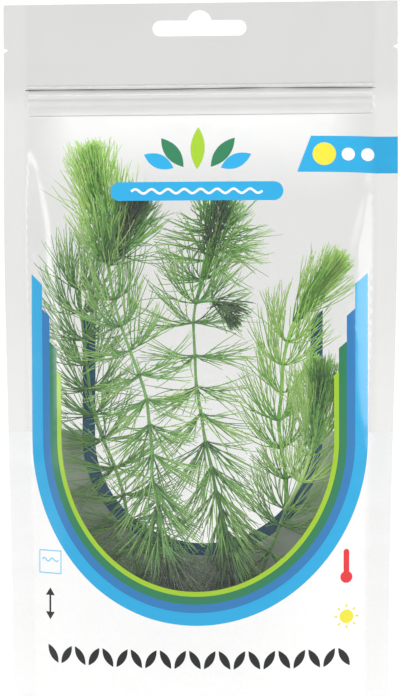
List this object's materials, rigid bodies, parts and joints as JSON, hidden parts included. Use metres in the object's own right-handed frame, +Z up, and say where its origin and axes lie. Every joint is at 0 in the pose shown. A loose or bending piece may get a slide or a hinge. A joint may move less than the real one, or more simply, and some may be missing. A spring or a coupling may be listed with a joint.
{
  "type": "stand-up pouch of hornwort",
  "caption": "Clear resealable stand-up pouch with a printed front, a hang slot and a gusset base, filled with forked stems of hornwort in fine leaf whorls.",
  "frame": {"origin": "middle of the base, on the surface the pouch stands on", "axes": "+Z up along the pouch, -Y out of its printed front, +X to the right seen from the front"},
  "size_m": [0.1342, 0.036, 0.24],
  "materials": {
    "front_film": "clear glossy film, printed white and in blues and greens over its lower part",
    "back_film": "clear glossy film, printed white over its lower part",
    "gusset_film": "clear glossy film",
    "zip_plastic": "milky extruded polyethylene",
    "leaf_bright": "fresh bright green leaf",
    "leaf_mid": "mid green leaf and stem",
    "leaf_dark": "dark green dense leaf"
  },
  "bodies": {
    "root": {"front_film": "front_film", "back_film": "back_film", "bottom_gusset": "gusset_film", "zip_track_front": "zip_plastic", "zip_track_back": "zip_plastic", "hornwort_tall_stem": "leaf_mid", "hornwort_tall_tip": "leaf_bright", "hornwort_tall_shoot": "leaf_dark", "hornwort_left_stem": "leaf_mid", "hornwort_middle_stem": "leaf_mid", "hornwort_middle_tip": "leaf_dark", "hornwort_middle_shoot": "leaf_dark", "hornwort_right_stem": "leaf_mid", "hornwort_right_tip": "leaf_bright", "hornwort_right_shoot": "leaf_dark"}
  },
  "joints": []
}
